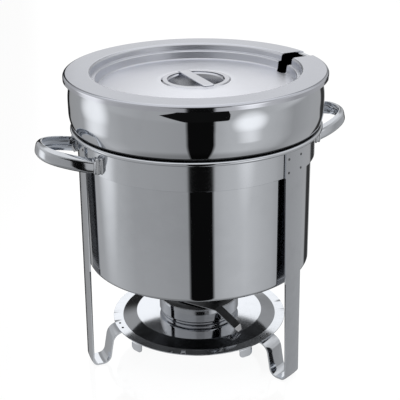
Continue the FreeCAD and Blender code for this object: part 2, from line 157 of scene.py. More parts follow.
def reach_bend(before, corner, after, reach):
    """Radius of the arc at a corner that begins and ends at the given reach from the corner: the reach
    is the radius times the tangent of half the turn."""
    into = np.subtract(corner, before)
    out = np.subtract(after, corner)
    turn = math.atan2(into[0] * out[1] - into[1] * out[0], float(np.dot(into, out)))
    return reach / math.tan(abs(turn) / 2)


def sheet_sides(corners, thickness, **how):
    """The two faces of a bent sheet: the middle line moved half the thickness to either side."""
    line, side = bent_line(corners, **how)
    return line + side * thickness / 2, line - side * thickness / 2


def grid_faces(rows, columns, wrap_rows=False, wrap_columns=True):
    """Corner numbers of the squares of a grid, as one array of four columns."""
    r = np.arange(rows if wrap_rows else rows - 1)
    c = np.arange(columns if wrap_columns else columns - 1)
    r, c = np.meshgrid(r, c, indexing="ij")
    r_next = (r + 1) % rows
    c_next = (c + 1) % columns
    corners = (r * columns + c, r * columns + c_next, r_next * columns + c_next, r_next * columns + c)
    return np.stack(corners, axis=-1).reshape(-1, 4)


def strip_faces(rows, columns):
    """Faces of a strip whose rows run along one face and back along the other, closed at both ends."""
    j = np.arange(columns // 2 - 1)
    end = np.stack([j, j + 1, columns - 2 - j, columns - 1 - j], axis=-1)
    return np.concatenate([grid_faces(rows, columns), end, end + (rows - 1) * columns])


def tube_faces(rows, columns):
    """Faces of a tube, with one face over each end."""
    ends = [list(range(columns)), list(range((rows - 1) * columns, rows * columns))]
    return grid_faces(rows, columns).tolist() + ends


def put_in_mesh(name, points, faces, sharp=32.0):
    """Mesh object from points and faces: doubles merged, faces outwards, smooth up to the sharp angle."""
    mesh = bpy.data.meshes.new(name)
    corners = np.asarray(points).reshape(-1, 3).tolist()
    mesh.from_pydata(corners, [], [list(map(int, f)) for f in faces])
    work = bmesh.new()
    work.from_mesh(mesh)
    bmesh.ops.remove_doubles(work, verts=work.verts, dist=MERGE)
    bmesh.ops.dissolve_degenerate(work, edges=work.edges, dist=TINY)
    bmesh.ops.recalc_face_normals(work, faces=work.faces)
    work.to_mesh(mesh)
    work.free()
    mesh.shade_smooth()
    mesh.set_sharp_from_angle(angle=math.radians(sharp))
    return new_object(name, mesh)


def placed(out, along, height, turn):
    """Points from distances outwards and sideways and a height, where the outward direction is the front
    (-Y) turned towards +X by an angle: x = out sin + along cos, y = along sin - out cos."""
    x = out * np.sin(turn) + along * np.cos(turn)
    y = along * np.sin(turn) - out * np.cos(turn)
    return np.stack(np.broadcast_arrays(x, y, height), axis=-1)


def spin(name, loop, closed=False, columns=224):
    """Turn a profile loop of (radius, height) once about the vertical axis."""
    angle = np.linspace(0, 2 * np.pi, columns, endpoint=False)
    points = placed(np.maximum(loop[:, :1], 0), 0, loop[:, 1:], angle)
    return put_in_mesh(name, points, grid_faces(len(loop), columns, closed))


def spun_sheet(name, corners, thickness, **how):
    """Pressed round sheet; its line starts on the axis and so needs no inner edge."""
    one, other = sheet_sides(corners, thickness, **how)
    return spin(name, np.concatenate([one, other[::-1]]))


PIECES = []


def settle(piece, body, slot, *nodes):
    """Let a piece ride on a body, take a material slot and stand for the solids it repeats."""
    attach(piece, body)
    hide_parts(*nodes)
    PIECES.append((piece, slot))
    print(piece.name, "faces", len(piece.data.polygons), "on", body)


# %% [markdown]
# Sizes come from the frame: the boxes of the solids give the radii and heights that matter.
# Small offsets and bend radii are written in the profiles, whose corners are (radius, height, bend).

# %% Sizes from the frame
def half_width(node):
    """Half the X size of a round node."""
    low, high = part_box(node)
    return (high[0] - low[0]) / 2


def bottom(node):
    """Lowest height of a node."""
    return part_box(node)[0][2]


def top(node):
    """Highest height of a node."""
    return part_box(node)[1][2]


SHEET = 1.0 * MM
HALF = SHEET / 2
LID_R = half_width("lid_plate")
LID_TOP = top("lid_plate")
BEAD_R = half_width("water_pan")
RIM_Z = top("water_pan")
PAN_BOTTOM = bottom("water_pan")
COLLAR_R = half_width("collar_band")
COLLAR_TOP = top("collar_band")
COLLAR_LOW = bottom("collar_band")
DISH_R = half_width("burner_dish")
DISH_FLOOR = top("burner_dish")
BURNER_R = half_width("burner_can")
BURNER_TOP = top("burner_cover")
print("lid radius", round(LID_R, 4), "height", round(LID_TOP, 4))

# %% [markdown]
# The water pan is the tall drum. A lathe rolls its rim outwards into a hollow bead, the bright line
# under the belly. The drum is one spun sheet whose profile ends in a circle, the bead.

# %% Water pan
PAN_R = 132.5 * MM
BEAD_TUBE = 2.4 * MM


def make_water_pan():
    """Drum profile from the centre of the floor out to the bead, which is a circle on its end."""
    bead_mid = BEAD_R - BEAD_TUBE
    bead_in = bead_mid - 0.9 * BEAD_TUBE
    corners = [
        (0, PAN_BOTTOM + HALF, 0),
        (PAN_R - HALF, PAN_BOTTOM + HALF, 5 * MM),
        (PAN_R - HALF, RIM_Z - HALF, 1.5 * MM),
        (bead_mid, RIM_Z - HALF, 0),
    ]
    one, other = sheet_sides(corners, SHEET)
    turn = np.linspace(np.pi / 2, -np.pi, 28)
    bead = np.column_stack([np.cos(turn), np.sin(turn)]) * BEAD_TUBE + [bead_mid, RIM_Z - BEAD_TUBE]
    outer = other[other[:, 0] < bead_in]
    loop = np.concatenate([one[:-1], bead, [(bead_in, RIM_Z - SHEET)], outer[::-1]])
    return spin("water_pan_drum", loop)


settle(make_water_pan(), "water_pan_body", "polished_steel", "water_pan")

# %% [markdown]
# The food pan hangs in the water pan. Its shoulder rests on the bead, and above it the wall swells to a
# belly and draws in to a neck under the lid. The belly shows most of the mirror play, so its bends get
# many points.

# %% Food pan
BELLY_R = 145.9 * MM
BELLY_LOW, BELLY_HIGH, THROAT = 0.19, 0.70, 0.92    # corners as shares of the height over the shoulder
LOW_REACH = 7 * MM
HIGH_REACH = 12 * MM
NECK_IN = 4.4 * MM
POT_R = 121.0 * MM
POT_FLOOR = bottom("food_pan") + HALF


def make_food_pan():
    """Profile from the pot floor up the wall, over the shoulder, belly and neck to the flat rim."""
    shoulder = RIM_Z + HALF
    rim = LID_TOP - SHEET - HALF
    tall = rim - shoulder
    belly = BELLY_R - HALF
    neck = belly - NECK_IN
    rim_r = LID_R - 3.5 * MM
    foot = (BEAD_R - 3.8 * MM, shoulder)
    low = (belly, shoulder + BELLY_LOW * tall)
    high = (belly, shoulder + BELLY_HIGH * tall)
    throat = (neck, shoulder + THROAT * tall)
    corners = [
        (0, POT_FLOOR, 0),
        (POT_R, POT_FLOOR, 12 * MM),
        (POT_R, shoulder, 3.5 * MM),
        (*foot, 4.5 * MM),
        (*low, reach_bend(foot, low, high, LOW_REACH)),
        (*high, reach_bend(low, high, throat, HIGH_REACH)),
        (*throat, 4 * MM),
        (neck, rim, 1.5 * MM),
        (rim_r, rim, 1.2 * MM),
        (rim_r, rim - 4 * MM, 0),
    ]
    return spun_sheet("food_pan_shell", corners, SHEET, per_bend=10)


settle(make_food_pan(), "food_pan_body", "polished_steel", "food_pan", "food_pan_belly")

# %% [markdown]
# The lid has a flat flange, a stepped recess and a ladle notch that is open at the rim. A boolean cut
# would leave poor shading round the notch. Instead every ring of the lid starts and ends at the edge of
# the notch: the ring at radius r leaves out the angle that the slot takes up there.

# %% Lid
NOTCH_HALF = 12.0 * MM
NOTCH_MIDDLE = math.radians(115.0)
NOTCH_CENTRE = 119.0 * MM           # centre of the round inner end of the notch
RECESS_R = 120.0 * MM
RECESS_DEPTH = 18.2 * MM
FLOOR_RISE = 4.7 * MM               # the floor climbs this much from its edge to the cup
LEDGE_R = RECESS_R - 5.8 * MM
LEDGE_W = 4.6 * MM
LEDGE_DROP = 8.2 * MM
LIP_DROP = 6.6 * MM
CUP_R = 33.0 * MM
CUP_DEPTH = 17.0 * MM
CUP_FLANGE = 4.0 * MM


def notch_angle(radius):
    """Half the angle of the notch at a radius: none inside its round end, then the end's circle by the
    law of cosines, then the straight sides, whose sine is half the width over the radius."""
    inner = NOTCH_CENTRE - NOTCH_HALF
    safe = np.maximum(radius, inner)
    cosine = (safe ** 2 + NOTCH_CENTRE ** 2 - NOTCH_HALF ** 2) / (2 * safe * NOTCH_CENTRE)
    circle = np.arccos(np.clip(cosine, -1, 1))
    sides = np.arcsin(NOTCH_HALF / np.maximum(radius, NOTCH_CENTRE))
    on_sides = radius * np.cos(sides) > NOTCH_CENTRE
    return np.where(radius <= inner, 0.0, np.where(on_sides, sides, circle))


def make_lid_plate(columns=240):
    """Rings round the axis, each from one side of the notch to the other, and two walls at the notch."""
    middle = LID_TOP - HALF
    edge = middle - RECESS_DEPTH
    centre = edge + FLOOR_RISE
    step = middle - LEDGE_DROP
    corners = [
        (CUP_R, centre + SHEET, 0),
        (CUP_R + 5 * MM, centre + SHEET, 1 * MM),
        (CUP_R + 6.6 * MM, centre, 1 * MM),
        (CUP_R + 11.9 * MM, centre, 20 * MM),
        (LEDGE_R - 1.4 * MM, edge, 2.5 * MM),
        (LEDGE_R, step, 1.2 * MM),
        (LEDGE_R + LEDGE_W, step, 1.2 * MM),
        (RECESS_R, middle, 3 * MM),
        (LID_R - HALF, middle, 2.6 * MM),
        (LID_R - HALF, LID_TOP - LIP_DROP, 0),
    ]
    swing = np.linspace(0, np.pi / 2, 14)
    round_end = NOTCH_CENTRE - NOTCH_HALF * np.cos(swing)
    one, other = sheet_sides(corners, SHEET, per_bend=8, step=0.012, extra=round_end)
    loop = np.concatenate([one, other[::-1]])
    rows = len(loop)
    half = notch_angle(loop[:, 0])[:, None]
    share = np.linspace(0, 1, columns)[None, :]
    angle = NOTCH_MIDDLE + half + share * (2 * np.pi - 2 * half)
    points = placed(loop[:, :1], 0, loop[:, 1:], angle)
    cut = np.where((half[:-1, 0] > 0) | (half[1:, 0] > 0))[0]
    cut = cut[cut < len(one) - 1]
    wall = np.stack([cut, cut + 1, rows - 2 - cut, rows - 1 - cut], axis=-1) * columns
    faces = np.concatenate([grid_faces(rows, columns, True, False), wall, wall + columns - 1])
    return put_in_mesh("lid_cover", points, faces)


settle(make_lid_plate(), "lid", "lid_steel", "lid_plate")

# %% [markdown]
# Under the middle of the lid hangs a finger cup, and a flat strap bridges it as the grip. The cup is a
# spun sheet. The strap is a thin plate with round corners and a rounded upper edge that catches light.

# %% Finger cup and grip strap
STRAP_HALF_W = 6.5 * MM
STRAP_CORNER = 3.0 * MM
STRAP_TURN = math.radians(24.0)


def make_cup():
    """Cup profile from the middle of its floor up the sloping wall to its welded flange."""
    flange = top("lid_cup") - HALF
    corners = [
        (0, flange - CUP_DEPTH, 0),
        (CUP_R - 8 * MM, flange - CUP_DEPTH, 6 * MM),
        (CUP_R - 1 * MM, flange, 3 * MM),
        (CUP_R + CUP_FLANGE, flange, 0),
    ]
    return spun_sheet("lid_finger_cup", corners, SHEET)


def rounded_plate(half_long, half_wide, corner, count=8):
    """Outline of a plate with round corners, anticlockwise, as points (u, v)."""
    quarter = np.linspace(0, np.pi / 2, count)
    angle = np.concatenate([quarter + k * np.pi / 2 for k in range(4)])
    signs = np.repeat([(1, 1), (-1, 1), (-1, -1), (1, -1)], count, axis=0)
    arc = corner * np.column_stack([np.cos(angle), np.sin(angle)])
    return arc + signs * [half_long - corner, half_wide - corner]


def make_strap():
    """Stacked outlines from the bottom over a rounded edge to the top; shares are (size, height)."""
    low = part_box("lid_strap")[0][2]
    thick = top("lid_strap") - low
    shares = np.array([(0.0, 0.0), (0.6, 0.0), (1.0, 0.0), (1.0, 0.15), (1.0, 0.75), (0.985, 0.93),
                       (0.96, 1.0), (0.7, 1.0), (0.35, 1.0), (0.0, 1.0)])
    outline = rounded_plate(CUP_R + CUP_FLANGE, STRAP_HALF_W, STRAP_CORNER)
    size, height = shares[:, :1], low + thick * shares[:, 1:]
    points = placed(size * outline[:, 0], size * outline[:, 1], height, STRAP_TURN)
    return put_in_mesh("lid_grip_strap", points, grid_faces(len(shares), len(outline)))


settle(make_cup(), "lid", "lid_steel", "lid_cup")
settle(make_strap(), "lid", "lid_steel", "lid_strap")

# %% [markdown]
# The stand is a collar band, three legs and a dish. The collar is a plain spun band. A leg is a strip
# curved like the collar: its middle line runs down, turns under as a foot and climbs in an S to the
# dish. Across the strip every point keeps its distance from the axis, so the strip hugs the collar.

# %% Collar and legs
LEG_T = 2.0 * MM
LEG_TURNS = {"left_leg": math.radians(-70), "right_leg": math.radians(50), "rear_leg": math.radians(170)}
LEG_HALF_TOP = 15.8 * MM
LEG_HALF_FOOT = 13.0 * MM
LEG_LEAN = 3.4 * MM
LEG_TOP_DROP = 6.0 * MM
FOOT_LENGTH = 20.0 * MM
BED_WIDTH = 10.5 * MM               # how far legs and tabs reach in under the dish flange
COLLAR_T = 1.2 * MM
DISH_BED = bottom("burner_dish")
DISH_TOP = DISH_BED + SHEET


def make_collar():
    """Band with slightly rounded edges as a closed loop."""
    inner, low, high = COLLAR_R - COLLAR_T, COLLAR_LOW, COLLAR_TOP
    ease = 0.25 * MM
    loop = np.array([
        (inner, low + ease), (inner + ease, low), (COLLAR_R - ease, low), (COLLAR_R, low + ease),
        (COLLAR_R, low + 2 * ease), (COLLAR_R, high - 2 * ease), (COLLAR_R, high - ease),
        (COLLAR_R - ease, high), (inner + ease, high), (inner, high - ease), (inner, high - 2 * ease),
        (inner, low + 2 * ease),
    ])
    return spin("collar_ring", loop, True)


def leg_line():
    """Middle line of a leg as (radius, height, bend)."""
    top_r = COLLAR_R + LEG_T / 2
    foot_r = top_r + LEG_LEAN
    bed = DISH_BED - LEG_T / 2
    return [
        (top_r, COLLAR_TOP - LEG_TOP_DROP, 0),
        (top_r, COLLAR_LOW - 6 * MM, 80 * MM),
        (foot_r, LEG_T / 2, 6 * MM),
        (foot_r - FOOT_LENGTH, LEG_T / 2, 10 * MM),
        (DISH_R + 8 * MM, bed, 14 * MM),
        (DISH_R - BED_WIDTH, bed, 0),
    ]


def strip_solid(name, outer, inner, half, turn, across=13):
    """Strip with two faces given as (radius, height) rows; v runs across it from -half to half. Every
    point keeps its row's radius, so outwards it lies at the root of radius squared less v squared."""
    share = np.linspace(-1, 1, across)
    v = half[:, None] * np.concatenate([share, share[::-1]])
    sides = np.repeat(np.stack([outer, inner], axis=1), across, axis=1)
    radius, height = sides[..., 0], sides[..., 1]
    points = placed(np.sqrt(radius ** 2 - v ** 2), v, height, turn)
    return put_in_mesh(name, points, strip_faces(*v.shape))


def ease_edges(piece, width):
    """Rounded edges, which catch thin lines of light on real metal."""
    bevel = piece.modifiers.new("eased_edges", "BEVEL")
    bevel.width = width
    bevel.segments = 2
    bevel.limit_method = "ANGLE"
    bevel.angle_limit = math.radians(40)
    return piece


def make_leg(node):
    """Leg strip that narrows from the lower edge of the collar to the dish height."""
    outer, inner = sheet_sides(leg_line(), LEG_T, per_bend=10, step=0.012)
    taper = np.clip((outer[:, 1] - DISH_TOP) / (COLLAR_LOW - DISH_TOP), 0, 1)
    half = LEG_HALF_FOOT + (LEG_HALF_TOP - LEG_HALF_FOOT) * taper
    return ease_edges(strip_solid(node + "_strip", outer, inner, half, LEG_TURNS[node]), 0.35 * MM)


settle(make_collar(), "stand", "stand_steel", "collar_band")
for node in LEG_TURNS:
    settle(make_leg(node), "stand", "stand_steel", node)

# %% [markdown]
# Rivets hold the legs to the collar and to the dish. Each head is a low dome. One function places a dome
# on an axis, and all heads of a group share a mesh, as they share a node in the frame.

# %% Rivets
RIVET_R = 1.5 * MM
RIVET_HEAD = 0.7 * MM
RIVET_SINK = 0.4 * MM
RIVET_DROPS = (13.5 * MM, 29.0 * MM)
RIVET_OFFSET = 11.1 * MM
DISH_RIVET_R = DISH_R - 5.5 * MM
DISH_RIVET_OFFSET = 6.0 * MM


def dome_group(name, places, axes, rings=6, columns=20):
    """Domes on given places: ring k has radius times the sine and height times the cosine of its angle;
    a short shank below closes each dome."""
    swing = np.linspace(0, np.pi / 2, rings)
    ring_r = np.concatenate([RIVET_R * np.sin(swing), [RIVET_R, 0]])
    ring_h = np.concatenate([RIVET_HEAD * np.cos(swing), [-RIVET_SINK, -RIVET_SINK]])
    angle = np.linspace(0, 2 * np.pi, columns, endpoint=False)
    places = np.asarray(places)
    axes = np.asarray(axes) / np.linalg.norm(axes, axis=1, keepdims=True)
    helper = np.where(np.abs(axes[:, 2:]) > 0.9, [[1.0, 0, 0]], [[0, 0, 1.0]])
    side = np.cross(axes, helper)
    side /= np.linalg.norm(side, axis=1, keepdims=True)
    other = np.cross(axes, side)
    around = side[:, None] * np.cos(angle)[:, None] + other[:, None] * np.sin(angle)[:, None]
    points = (places[:, None, None] + ring_r[:, None, None] * around[:, None]
              + ring_h[:, None, None] * axes[:, None, None])
    one = grid_faces(len(ring_r), columns)
    step = len(ring_r) * columns
    faces = (one[None] + step * np.arange(len(places))[:, None, None]).reshape(-1, 4)
    return put_in_mesh(name, points, faces, sharp=50)


def make_collar_rivets():
    """Two rows of two heads on every leg."""
    places, axes = [], []
    for turn in LEG_TURNS.values():
        for drop in RIVET_DROPS:
            for offset in (-RIVET_OFFSET, RIVET_OFFSET):
                reach = math.sqrt((COLLAR_R + LEG_T) ** 2 - offset ** 2)
                places.append(placed(reach, offset, COLLAR_TOP - drop, turn))
                axes.append(placed(reach, offset, 0, turn))
    return dome_group("collar_rivet_heads", places, axes)


def make_dish_rivets():
    """Two heads on the dish flange over every leg."""
    places = [placed(DISH_RIVET_R, offset, DISH_TOP, turn) for turn in LEG_TURNS.values()
              for offset in (-DISH_RIVET_OFFSET, DISH_RIVET_OFFSET)]
    return dome_group("dish_rivet_heads", places, [(0, 0, 1.0)] * len(places))


settle(make_collar_rivets(), "stand", "stand_steel", "collar_rivets")
settle(make_dish_rivets(), "stand", "stand_steel", "dish_rivets")

# %% [markdown]
# The dish carries the burner: a flat flange, a short slope and a raised floor. Two small tabs hang under
# its flange. The dish is spun; a tab is a strip like a leg, with an end that narrows to a round tip.

# %% Dish and tabs
TAB_TURNS = (math.radians(-45), math.radians(31))
TAB_HALF = 8.5 * MM
TAB_DROP = 11.0 * MM
TAB_TIP = 5.0 * MM
DISH_FLANGE = 12.0 * MM
DISH_SLOPE = 17.0 * MM


def make_dish():
    """Profile from the middle of the floor down the slope to the flange, with eased edges."""
    inner = DISH_R - DISH_FLANGE
    corners = [
        (0, DISH_FLOOR - HALF, 0),
        (inner - DISH_SLOPE, DISH_FLOOR - HALF, 2.5 * MM),
        (inner, DISH_TOP - HALF, 2.5 * MM),
        (DISH_R, DISH_TOP - HALF, 0),
    ]
    return ease_edges(spun_sheet("burner_dish_plate", corners, SHEET), 0.25 * MM)


def make_tab(turn):
    """Tab strip; its half width follows a quarter ellipse over the last stretch."""
    bed = DISH_BED - HALF
    corners = [
        (DISH_R - BED_WIDTH, bed, 0),
        (DISH_R - 1.5 * MM, bed, 2 * MM),
        (DISH_R - 1 * MM, bed - TAB_DROP, 0),
    ]
    outer, inner = sheet_sides(corners, SHEET, step=0.0008)
    left = np.clip((outer[:, 1] - outer[-1, 1]) / TAB_TIP, 0, 1)
    half = TAB_HALF * (0.45 + 0.55 * np.sqrt(1 - (1 - left) ** 2))
    return strip_solid("tab", outer, inner, half, turn)


def join(name, parts):
    """Join several objects into one mesh object."""
    points, faces = [], []
    for part in parts:
        mesh = part.data
        faces += [[v + len(points) for v in p.vertices] for p in mesh.polygons]
        points += [v.co[:] for v in mesh.vertices]
        bpy.data.objects.remove(part)
        bpy.data.meshes.remove(mesh)
    return put_in_mesh(name, points, faces)


settle(make_dish(), "stand", "polished_steel", "burner_dish")
tabs = join("dish_tab_pair", [make_tab(turn) for turn in TAB_TURNS])
settle(ease_edges(tabs, 0.2 * MM), "stand", "stand_steel", "dish_tabs")

# %% [markdown]
# The loop handles are bands with a hollow back: a C section swept along a flat loop that rises outwards.
# Sweeping by numpy is one outer sum: every path point plus every section point along the path's side
# direction. The sockets at the ends are short blocks with soft upright ribs: a rounded square runs from
# the collar to the band and its size swings a little on the way.

# %% Handles and sockets
HANDLE_TURNS = {"left_handle": math.radians(-68.5), "right_handle": math.radians(111.5)}
HANDLE_REACH = 185.5 * MM
HANDLE_HALF = 45.0 * MM
HANDLE_Z = (top("handle_brackets") + bottom("handle_brackets")) / 2
HANDLE_TILT = math.radians(14.0)
BAND_HALF = 8.5 * MM
BAND_BULGE = 4.5 * MM
BAND_WALL = 1.6 * MM
BAND_LIP = 0.7 * MM
ARM_SPOTS = [(COLLAR_R - 13.2 * MM, 43 * MM), (158 * MM, 38 * MM), (HANDLE_REACH, 19 * MM)]
ARM_BEND = 15.0 * MM
TIP_BEND = 17.0 * MM
SOCKET_OUT = 141.6 * MM
SOCKET_HALF = 5.2 * MM
SOCKET_OVER = 1.0 * MM              # the block is this much taller than the band on each side
RIB_WIDE = 0.5 * MM
RIB_TALL = 0.4 * MM
SQUARE_POWER = 0.45                 # power of sine and cosine that turns a circle into a rounded square


def handle_line():
    """Plan of the loop: out from the collar on bowed arms, round two large bends and back."""
    far_x, far_y = ARM_SPOTS[-1]
    bends = [0, reach_bend(*ARM_SPOTS, ARM_BEND), reach_bend(*ARM_SPOTS[1:], (far_x, -far_y), TIP_BEND)]
    arm = [(x, y, bend) for (x, y), bend in zip(ARM_SPOTS, bends)]
    return [(x, -y, bend) for x, y, bend in arm] + arm[::-1]


def raised(x, y, up, turn):
    """Points of the tilted handles: x outwards and y along the pan are turned up about the collar by the
    tilt t, so x adds its sine to the height and the height above the band takes its sine from x."""
    far = x - COLLAR_R
    reach = COLLAR_R + far * math.cos(HANDLE_TILT) - up * math.sin(HANDLE_TILT)
    height = HANDLE_Z + far * math.sin(HANDLE_TILT) + up * math.cos(HANDLE_TILT)
    return placed(reach, y, height, turn)


def band_section(count=25):
    """C section as (outwards, up): a front that is nearly flat in the middle and rolls over at its edges as
    one less the fourth power, rounded lips and a hollow back arc."""
    share = np.sin(np.linspace(-np.pi / 2, np.pi / 2, count))
    front = np.column_stack([BAND_BULGE * (1 - share ** 4), BAND_HALF * share])
    lip = np.array([(-0.5 * MM, BAND_HALF + 0.05 * MM), (-1.0 * MM, BAND_HALF - 0.2 * MM)])
    back_share = share[::-1]
    hollow = BAND_BULGE * (1 - back_share ** 2) - BAND_WALL
    back = np.column_stack([hollow, (BAND_HALF - BAND_LIP) * back_share])
    return np.concatenate([front, lip, back, lip[::-1] * [1, -1]])


def make_handle(node):
    """Every path point plus every section point; the ends are closed by the section's own outline."""
    line, side = bent_line(handle_line(), per_bend=28, step=0.006)
    outside = np.hypot(line[:, 0], line[:, 1]) > SOCKET_OUT - 1 * MM
    line, side = line[outside], -side[outside]
    section = band_section()
    flat = line[:, None, :] + side[:, None, :] * section[None, :, :1]
    points = raised(flat[..., 0], flat[..., 1], section[:, 1], HANDLE_TURNS[node])
    return put_in_mesh(node + "_band", points, tube_faces(*points.shape[:2]), sharp=38)


def make_sockets(rings=49, columns=40):
    """Rounded squares from the collar to the band: the half sizes swing with a cosine, which leaves upright
    ribs, and the plane turns from the collar's to the band's. One socket serves four places, two of them
    mirrored."""
    line, side = bent_line(handle_line(), per_bend=28, step=0.002)
    start = int(np.argmax(np.hypot(line[:, 0], line[:, 1]) > SOCKET_OUT + 0.8 * MM))
    tip, tip_side = line[start] * [1, -1], side[start] * [1, -1]
    foot_turn = math.asin(HANDLE_HALF / SOCKET_OUT)
    foot = (COLLAR_R - 0.6 * MM) * np.array([math.cos(foot_turn), math.sin(foot_turn)])
    foot_side = np.array([-math.sin(foot_turn), math.cos(foot_turn)])
    foot_side *= np.sign(foot_side @ tip_side)
    share = np.linspace(0, 1, rings)[:, None]
    angle = np.linspace(0, 2 * np.pi, columns, endpoint=False)
    cos, sin = np.cos(angle)[None], np.sin(angle)[None]
    wide = np.sign(cos) * np.abs(cos) ** SQUARE_POWER
    tall = np.sign(sin) * np.abs(sin) ** SQUARE_POWER
    rib = np.cos(4 * np.pi * share) - 0.5 * share
    half_wide = SOCKET_HALF + RIB_WIDE * rib
    half_tall = BAND_HALF + SOCKET_OVER + RIB_TALL * rib
    across = foot_side + share * (tip_side - foot_side)
    across /= np.linalg.norm(across, axis=1, keepdims=True)
    flat = (foot + share * (tip - foot))[:, None] + (half_wide * wide)[..., None] * across[:, None]
    height = HANDLE_Z + half_tall * tall + share * (tip[0] - COLLAR_R) * math.tan(HANDLE_TILT)
    faces = tube_faces(rings, columns)
    parts = [put_in_mesh("socket", placed(flat[..., 0], hand * flat[..., 1], height, turn), faces)
             for turn in HANDLE_TURNS.values() for hand in (1, -1)]
    return join("handle_sockets", parts)


for node in HANDLE_TURNS:
    settle(make_handle(node), "stand", "stand_steel", node)
settle(make_sockets(), "stand", "stand_steel", "handle_brackets")

# %% [markdown]
# The burner is a can on a narrower base, with a cover that has the flame opening. A shutter swings over
# the opening and is moved by a strip handle that slopes down over the rim. The can and the cover are
# spun; the strip is a bent sheet with a round end.

# %% Burner
STRIP_TURN = math.radians(58)
STRIP_OFF = 29.0 * MM
STRIP_HALF = 7.0 * MM
STRIP_START = -7.7 * MM
STRIP_REACH = 29.0 * MM
STRIP_BLUNT = 0.02                  # keeps the round end from closing to a point
BASE_IN = 3.2 * MM
FLAME_R = 26.0 * MM


def make_burner_can():
    """Can profile from the middle of its floor, up over the stepped base to the open top."""
    base = BURNER_R - BASE_IN
    wall = BURNER_R - HALF
    corners = [
        (0, DISH_FLOOR + HALF, 0),
        (base, DISH_FLOOR + HALF, 1.2 * MM),
        (base, DISH_FLOOR + 3.8 * MM, 1 * MM),
        (wall, DISH_FLOOR + 5.6 * MM, 2 * MM),
        (wall, BURNER_TOP - SHEET, 0),
    ]
    return spun_sheet("burner_can_shell", corners, SHEET)


def make_burner_cover():
    """Flat ring with a rounded outer edge and an inner edge rolled round the flame opening."""
    swing = np.linspace(-np.pi / 2, np.pi / 2, 9)
    curve = HALF * np.column_stack([np.cos(swing), np.sin(swing)])
    outer = np.array([BURNER_R - HALF, BURNER_TOP - HALF]) + curve
    inner = np.array([FLAME_R + HALF, BURNER_TOP - HALF]) - curve
    return spin("burner_cover_ring", np.concatenate([outer, inner]), True)


def make_shutter_handle(across=9):
    """Bent strip beside the burner's axis; seen from above its low end is a half circle."""
    z = top("shutter_handle") - HALF
    rim = math.sqrt((BURNER_R + 2 * MM) ** 2 - (STRIP_OFF - STRIP_HALF) ** 2)
    end = rim + STRIP_REACH
    corners = [
        (STRIP_START, z, 0),
        (rim, z, 6 * MM),
        (end - 3 * MM, DISH_FLOOR + 8 * MM, 2.5 * MM),
        (end, DISH_FLOOR + 3 * MM, 0),
    ]
    line, side = bent_line(corners, per_bend=8, step=0.0012)
    over = np.clip((line[:, 0] - end - SHEET + STRIP_HALF) / STRIP_HALF, 0, 1)
    half = STRIP_HALF * np.sqrt(np.maximum(1 - over ** 2, STRIP_BLUNT))
    share = np.linspace(-1, 1, across)
    v = half[:, None] * np.concatenate([share, share[::-1]])
    place = line[:, None] + side[:, None] * np.repeat([HALF, -HALF], across)[:, None]
    points = placed(place[..., 0], v - STRIP_OFF, place[..., 1], STRIP_TURN)
    return put_in_mesh("shutter_handle_strip", points, strip_faces(*v.shape))


settle(make_burner_can(), "burner", "burner_steel", "burner_can")
settle(make_burner_cover(), "burner", "burner_steel", "burner_cover")
settle(ease_edges(make_shutter_handle(), 0.2 * MM), "shutter", "burner_steel", "shutter_handle")

# %% [markdown]
# Steel has hardly any colour of its own; its look is what it mirrors and how sharply. Small effects are
# shared by all finishes, so each is a node group: lines from the polishing wheel that run round the
# axis, soft patches from handling, and hairline scratches. They change roughness, tint and bump.

# %% Node helpers and shared effects
def put(tree, kind, inputs=None, **settings):
    """Place one node, apply its settings and fill or link its inputs by name or number."""
    node = tree.nodes.new(kind)
    for key, value in settings.items():
        setattr(node, key, value)
    for key, value in (inputs or {}).items():
        if isinstance(value, bpy.types.NodeSocket):
            tree.links.new(value, node.inputs[key])
        else:
            node.inputs[key].default_value = value
    return node


def maths(tree, operation, *values, clamp=False):
    """One Math node; values are numbers or sockets."""
    inputs = dict(enumerate(values))
    return put(tree, "ShaderNodeMath", inputs, operation=operation, use_clamp=clamp).outputs[0]


def times(tree, a, b):
    """Product of two numbers or sockets."""
    return maths(tree, "MULTIPLY", a, b)


def noise(tree, vector, scale, detail, more=None, dimensions="3D"):
    """One noise texture; more fills its other inputs."""
    inputs = {"Vector": vector, "Scale": scale, "Detail": detail, **(more or {})}
    return put(tree, "ShaderNodeTexNoise", inputs, noise_dimensions=dimensions).outputs[0]


def fade(tree, value, start, end, kind="SMOOTHSTEP"):
    """From 0 at the start to 1 at the end."""
    inputs = {0: value, 1: start, 2: end, 3: 0.0, 4: 1.0}
    return put(tree, "ShaderNodeMapRange", inputs, interpolation_type=kind).outputs[0]


def blend_values(tree, share, a, b):
    """Value that goes from a to b as the share goes from 0 to 1."""
    return put(tree, "ShaderNodeMix", {0: share, 2: a, 3: b}).outputs[0]


def blend_colours(tree, share, a, b):
    """Colour that goes from a to b as the share goes from 0 to 1."""
    return put(tree, "ShaderNodeMix", {0: share, 6: a, 7: b}, data_type="RGBA").outputs[2]


def axis_distance(tree, x, y):
    """Distance from the z axis."""
    return maths(tree, "SQRT", maths(tree, "ADD", times(tree, x, x), times(tree, y, y)))


def fresh_tree(block):
    """Emptied node tree of a material or a world."""
    block.use_nodes = True
    block.node_tree.nodes.clear()
    return block.node_tree


def new_group(name, titles, output):
    """Group with a vector and named values in and one value out: its tree, inputs and output."""
    tree = bpy.data.node_groups.new(name, "ShaderNodeTree")
    tree.interface.new_socket(name="Vector", in_out="INPUT", socket_type="NodeSocketVector")
    for title in titles:
        tree.interface.new_socket(name=title, in_out="INPUT", socket_type="NodeSocketFloat")
    tree.interface.new_socket(name=output, in_out="OUTPUT", socket_type="NodeSocketFloat")
    given = tree.nodes.new("NodeGroupInput").outputs
    result = tree.nodes.new("NodeGroupOutput").inputs[output]
    return tree, [given[title] for title in ("Vector", *titles)], result


